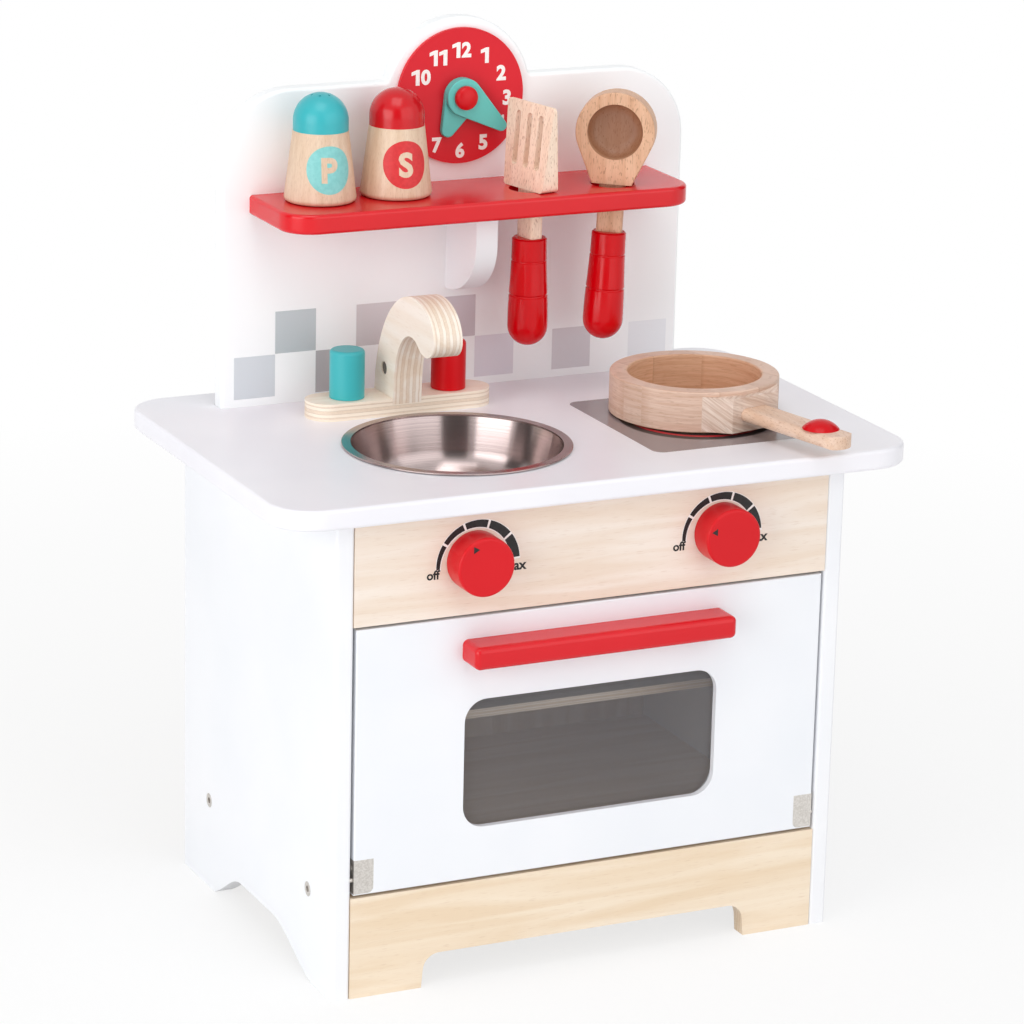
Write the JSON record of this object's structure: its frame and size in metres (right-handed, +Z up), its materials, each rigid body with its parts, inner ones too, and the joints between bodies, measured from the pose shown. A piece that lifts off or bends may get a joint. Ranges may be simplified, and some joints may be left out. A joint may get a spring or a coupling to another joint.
{
  "type": "play kitchen",
  "caption": "Toy kitchen of painted board with a drop-down oven door, steel sink, hob with pan, turning taps, knobs and clock hands, and a wall shelf with loose tools.",
  "frame": {"origin": "on the floor, under the middle of the box round the whole kitchen, the pan's handle included", "axes": "+Z up, +X to the right seen from the front, +Y towards the back"},
  "size_m": [0.46, 0.3124, 0.6047],
  "materials": {
    "white_board": "painted board, satin white",
    "countertop_board": "painted board, pale grey-white satin",
    "birch_ply": "clear-lacquered birch plywood",
    "beech": "clear-lacquered beech",
    "red_paint": "gloss red enamel on wood",
    "teal_paint": "gloss teal enamel on wood",
    "sink_steel": "pressed sheet steel, satin",
    "zinc_steel": "zinc-plated steel",
    "hob_grey": "smooth grey sheet with a printed ring",
    "catch_plastic": "moulded plastic with a magnet",
    "smoked_pane": "smoked clear acrylic sheet"
  },
  "bodies": {
    "cabinet": {"side_panel_left": "white_board", "side_panel_right": "white_board", "countertop": "countertop_board", "control_panel": "birch_ply", "plinth_panel": "birch_ply", "oven_floor": "birch_ply", "back_panel": "birch_ply", "oven_shelf": "birch_ply", "shelf_pins": "zinc_steel", "cabinet_bolts": "zinc_steel", "barrel_nuts": "zinc_steel", "dowels": "beech", "backsplash": "white_board", "splash_screws": "zinc_steel", "wall_shelf": "red_paint", "shelf_bracket": "white_board", "shelf_screws": "zinc_steel", "clock_dial": "red_paint", "clock_axle": "zinc_steel", "clock_hub": "red_paint", "faucet_base": "birch_ply", "faucet_spout": "birch_ply", "faucet_bolt": "zinc_steel", "faucet_nut": "zinc_steel", "tap_axles": "zinc_steel", "hob_plate": "hob_grey", "magnet_catch": "catch_plastic", "hinge_pins": "zinc_steel", "knob_axles": "zinc_steel"},
    "oven_door": {"door_panel": "white_board", "window_pane": "smoked_pane", "door_handle": "red_paint", "handle_screws": "zinc_steel", "hinge_plate_left": "zinc_steel", "hinge_plate_right": "zinc_steel", "plate_screws": "zinc_steel", "strike_plate": "zinc_steel"},
    "knob_left": {"knob_left": "red_paint"},
    "knob_right": {"knob_right": "red_paint"},
    "tap_cold": {"tap_cold": "teal_paint"},
    "tap_hot": {"tap_hot": "red_paint"},
    "hour_hand": {"hour_hand": "teal_paint"},
    "minute_hand": {"minute_hand": "teal_paint"},
    "pepper_shaker": {"pepper_body": "beech", "pepper_cap": "teal_paint"},
    "salt_shaker": {"salt_body": "beech", "salt_cap": "red_paint"},
    "spatula": {"spatula_blade": "beech", "spatula_handle": "red_paint"},
    "ladle": {"ladle_head": "beech", "ladle_handle": "red_paint"},
    "pan": {"pan_ring": "beech", "pan_base": "birch_ply", "pan_block": "beech", "pan_handle": "beech", "pan_button": "red_paint"},
    "sink_bowl": {"sink_bowl": "sink_steel"}
  },
  "joints": [
    {"name": "oven_door_hinge", "type": "hinge", "parent": "cabinet", "child": "oven_door", "pos_m": [0, -0.1133, 0.0824], "axis": [1, 0, 0], "range_deg": [0, 90]},
    {"name": "knob_left_turn", "type": "hinge", "parent": "cabinet", "child": "knob_left", "pos_m": [-0.0882, -0.1268, 0.2934], "axis": [0, -1, 0], "continuous": true},
    {"name": "knob_right_turn", "type": "hinge", "parent": "cabinet", "child": "knob_right", "pos_m": [0.0918, -0.1268, 0.2934], "axis": [0, -1, 0], "continuous": true},
    {"name": "tap_cold_turn", "type": "hinge", "parent": "cabinet", "child": "tap_cold", "pos_m": [-0.09875, 0.0712, 0.372], "axis": [0, 0, 1], "continuous": true},
    {"name": "tap_hot_turn", "type": "hinge", "parent": "cabinet", "child": "tap_hot", "pos_m": [-0.02325, 0.0712, 0.372], "axis": [0, 0, 1], "continuous": true},
    {"name": "hour_hand_turn", "type": "hinge", "parent": "cabinet", "child": "hour_hand", "pos_m": [0, 0.1076, 0.5505], "axis": [0, 1, 0], "continuous": true},
    {"name": "minute_hand_turn", "type": "hinge", "parent": "cabinet", "child": "minute_hand", "pos_m": [0, 0.1036, 0.5505], "axis": [0, 1, 0], "continuous": true},
    {"name": "pepper_lift", "type": "slide", "parent": "cabinet", "child": "pepper_shaker", "axis": [0, 0, 1], "range_m": [0, 0.12]},
    {"name": "salt_lift", "type": "slide", "parent": "cabinet", "child": "salt_shaker", "axis": [0, 0, 1], "range_m": [0, 0.12]},
    {"name": "spatula_lift", "type": "slide", "parent": "cabinet", "child": "spatula", "axis": [0, 0, 1], "range_m": [0, 0.23]},
    {"name": "ladle_lift", "type": "slide", "parent": "cabinet", "child": "ladle", "axis": [0.0471, 0, 0.9989], "range_m": [0, 0.23]},
    {"name": "pan_lift", "type": "slide", "parent": "cabinet", "child": "pan", "axis": [0, -0.7071, 0.7071], "range_m": [0, 0.3]},
    {"name": "sink_bowl_lift", "type": "slide", "parent": "cabinet", "child": "sink_bowl", "axis": [0, -0.1736, 0.9848], "range_m": [0, 0.048]}
  ]
}
